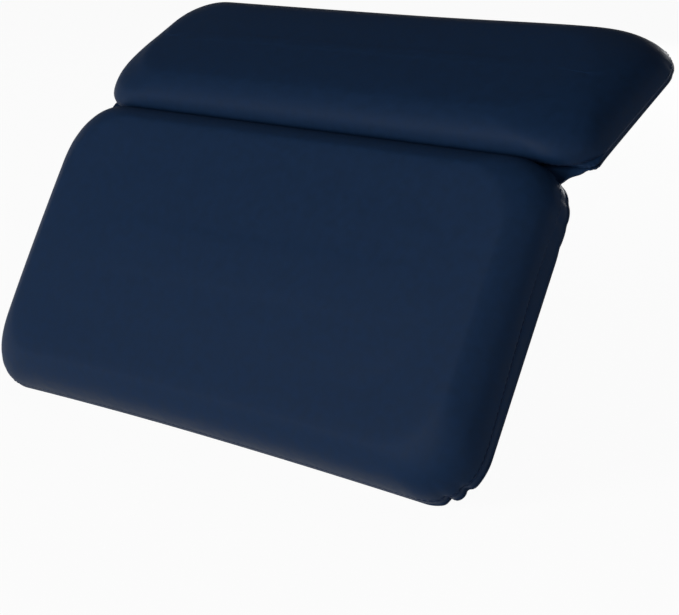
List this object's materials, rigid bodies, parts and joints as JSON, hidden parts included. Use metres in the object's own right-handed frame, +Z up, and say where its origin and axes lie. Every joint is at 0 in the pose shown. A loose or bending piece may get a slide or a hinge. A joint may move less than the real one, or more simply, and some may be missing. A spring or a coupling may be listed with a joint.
{
  "type": "bath pillow",
  "caption": "Padded bath pillow of a large and a small foam pad in coated fabric, folded at a fabric hinge, with suction cups behind to grip a tub wall and ledge.",
  "frame": {"origin": "on the tub wall, at the middle of the lower pad's cups, in the plane of their rims", "axes": "+X along the fold between the pads, +Y from the bather to the wall, +Z up"},
  "size_m": [0.368, 0.2046, 0.224],
  "materials": {
    "cover_fabric": "satin",
    "back_fabric": "matte",
    "foam": "matte",
    "cup_vinyl": "gloss",
    "grommet_vinyl": "satin"
  },
  "bodies": {
    "lower_pad": {"lower_front_cover": "cover_fabric", "lower_foam_core": "foam", "lower_back_panel": "back_fabric", "lower_cup_grommet_1": "grommet_vinyl", "lower_cup_grommet_2": "grommet_vinyl", "lower_cup_grommet_3": "grommet_vinyl", "lower_cup_grommet_4": "grommet_vinyl", "hinge_web": "back_fabric"},
    "upper_pad": {"upper_front_cover": "cover_fabric", "upper_foam_core": "foam", "upper_back_panel": "back_fabric", "upper_cup_grommet_1": "grommet_vinyl", "upper_cup_grommet_2": "grommet_vinyl", "upper_cup_grommet_3": "grommet_vinyl"},
    "lower_cup_1": {"lower_suction_cup_1": "cup_vinyl"},
    "lower_cup_2": {"lower_suction_cup_2": "cup_vinyl"},
    "lower_cup_3": {"lower_suction_cup_3": "cup_vinyl"},
    "lower_cup_4": {"lower_suction_cup_4": "cup_vinyl"},
    "upper_cup_1": {"upper_suction_cup_1": "cup_vinyl"},
    "upper_cup_2": {"upper_suction_cup_2": "cup_vinyl"},
    "upper_cup_3": {"upper_suction_cup_3": "cup_vinyl"}
  },
  "joints": [
    {"name": "fold", "type": "hinge", "parent": "lower_pad", "child": "upper_pad", "pos_m": [0, 0.0303, 0.08971], "axis": [-1, 0, 0], "range_deg": [-34, 56], "deforming": ["hinge_web"]},
    {"name": "lower_cup_1_swivel", "type": "hinge", "parent": "lower_pad", "child": "lower_cup_1", "pos_m": [-0.125, 0.02068, 0.03655], "axis": [0, 0.8704, -0.4924], "continuous": true},
    {"name": "lower_cup_2_swivel", "type": "hinge", "parent": "lower_pad", "child": "lower_cup_2", "pos_m": [0.125, 0.02068, 0.03655], "axis": [0, 0.8704, -0.4924], "continuous": true},
    {"name": "lower_cup_3_swivel", "type": "hinge", "parent": "lower_pad", "child": "lower_cup_3", "pos_m": [-0.125, -0.02068, -0.03655], "axis": [0, 0.8704, -0.4924], "continuous": true},
    {"name": "lower_cup_4_swivel", "type": "hinge", "parent": "lower_pad", "child": "lower_cup_4", "pos_m": [0.125, -0.02068, -0.03655], "axis": [0, 0.8704, -0.4924], "continuous": true},
    {"name": "upper_cup_1_swivel", "type": "hinge", "parent": "upper_pad", "child": "upper_cup_1", "pos_m": [-0.092, 0.08926, 0.09921], "axis": [0, 0.4462, -0.8949], "continuous": true},
    {"name": "upper_cup_2_swivel", "type": "hinge", "parent": "upper_pad", "child": "upper_cup_2", "pos_m": [0, 0.08926, 0.09921], "axis": [0, 0.4462, -0.8949], "continuous": true},
    {"name": "upper_cup_3_swivel", "type": "hinge", "parent": "upper_pad", "child": "upper_cup_3", "pos_m": [0.092, 0.08926, 0.09921], "axis": [0, 0.4462, -0.8949], "continuous": true}
  ]
}
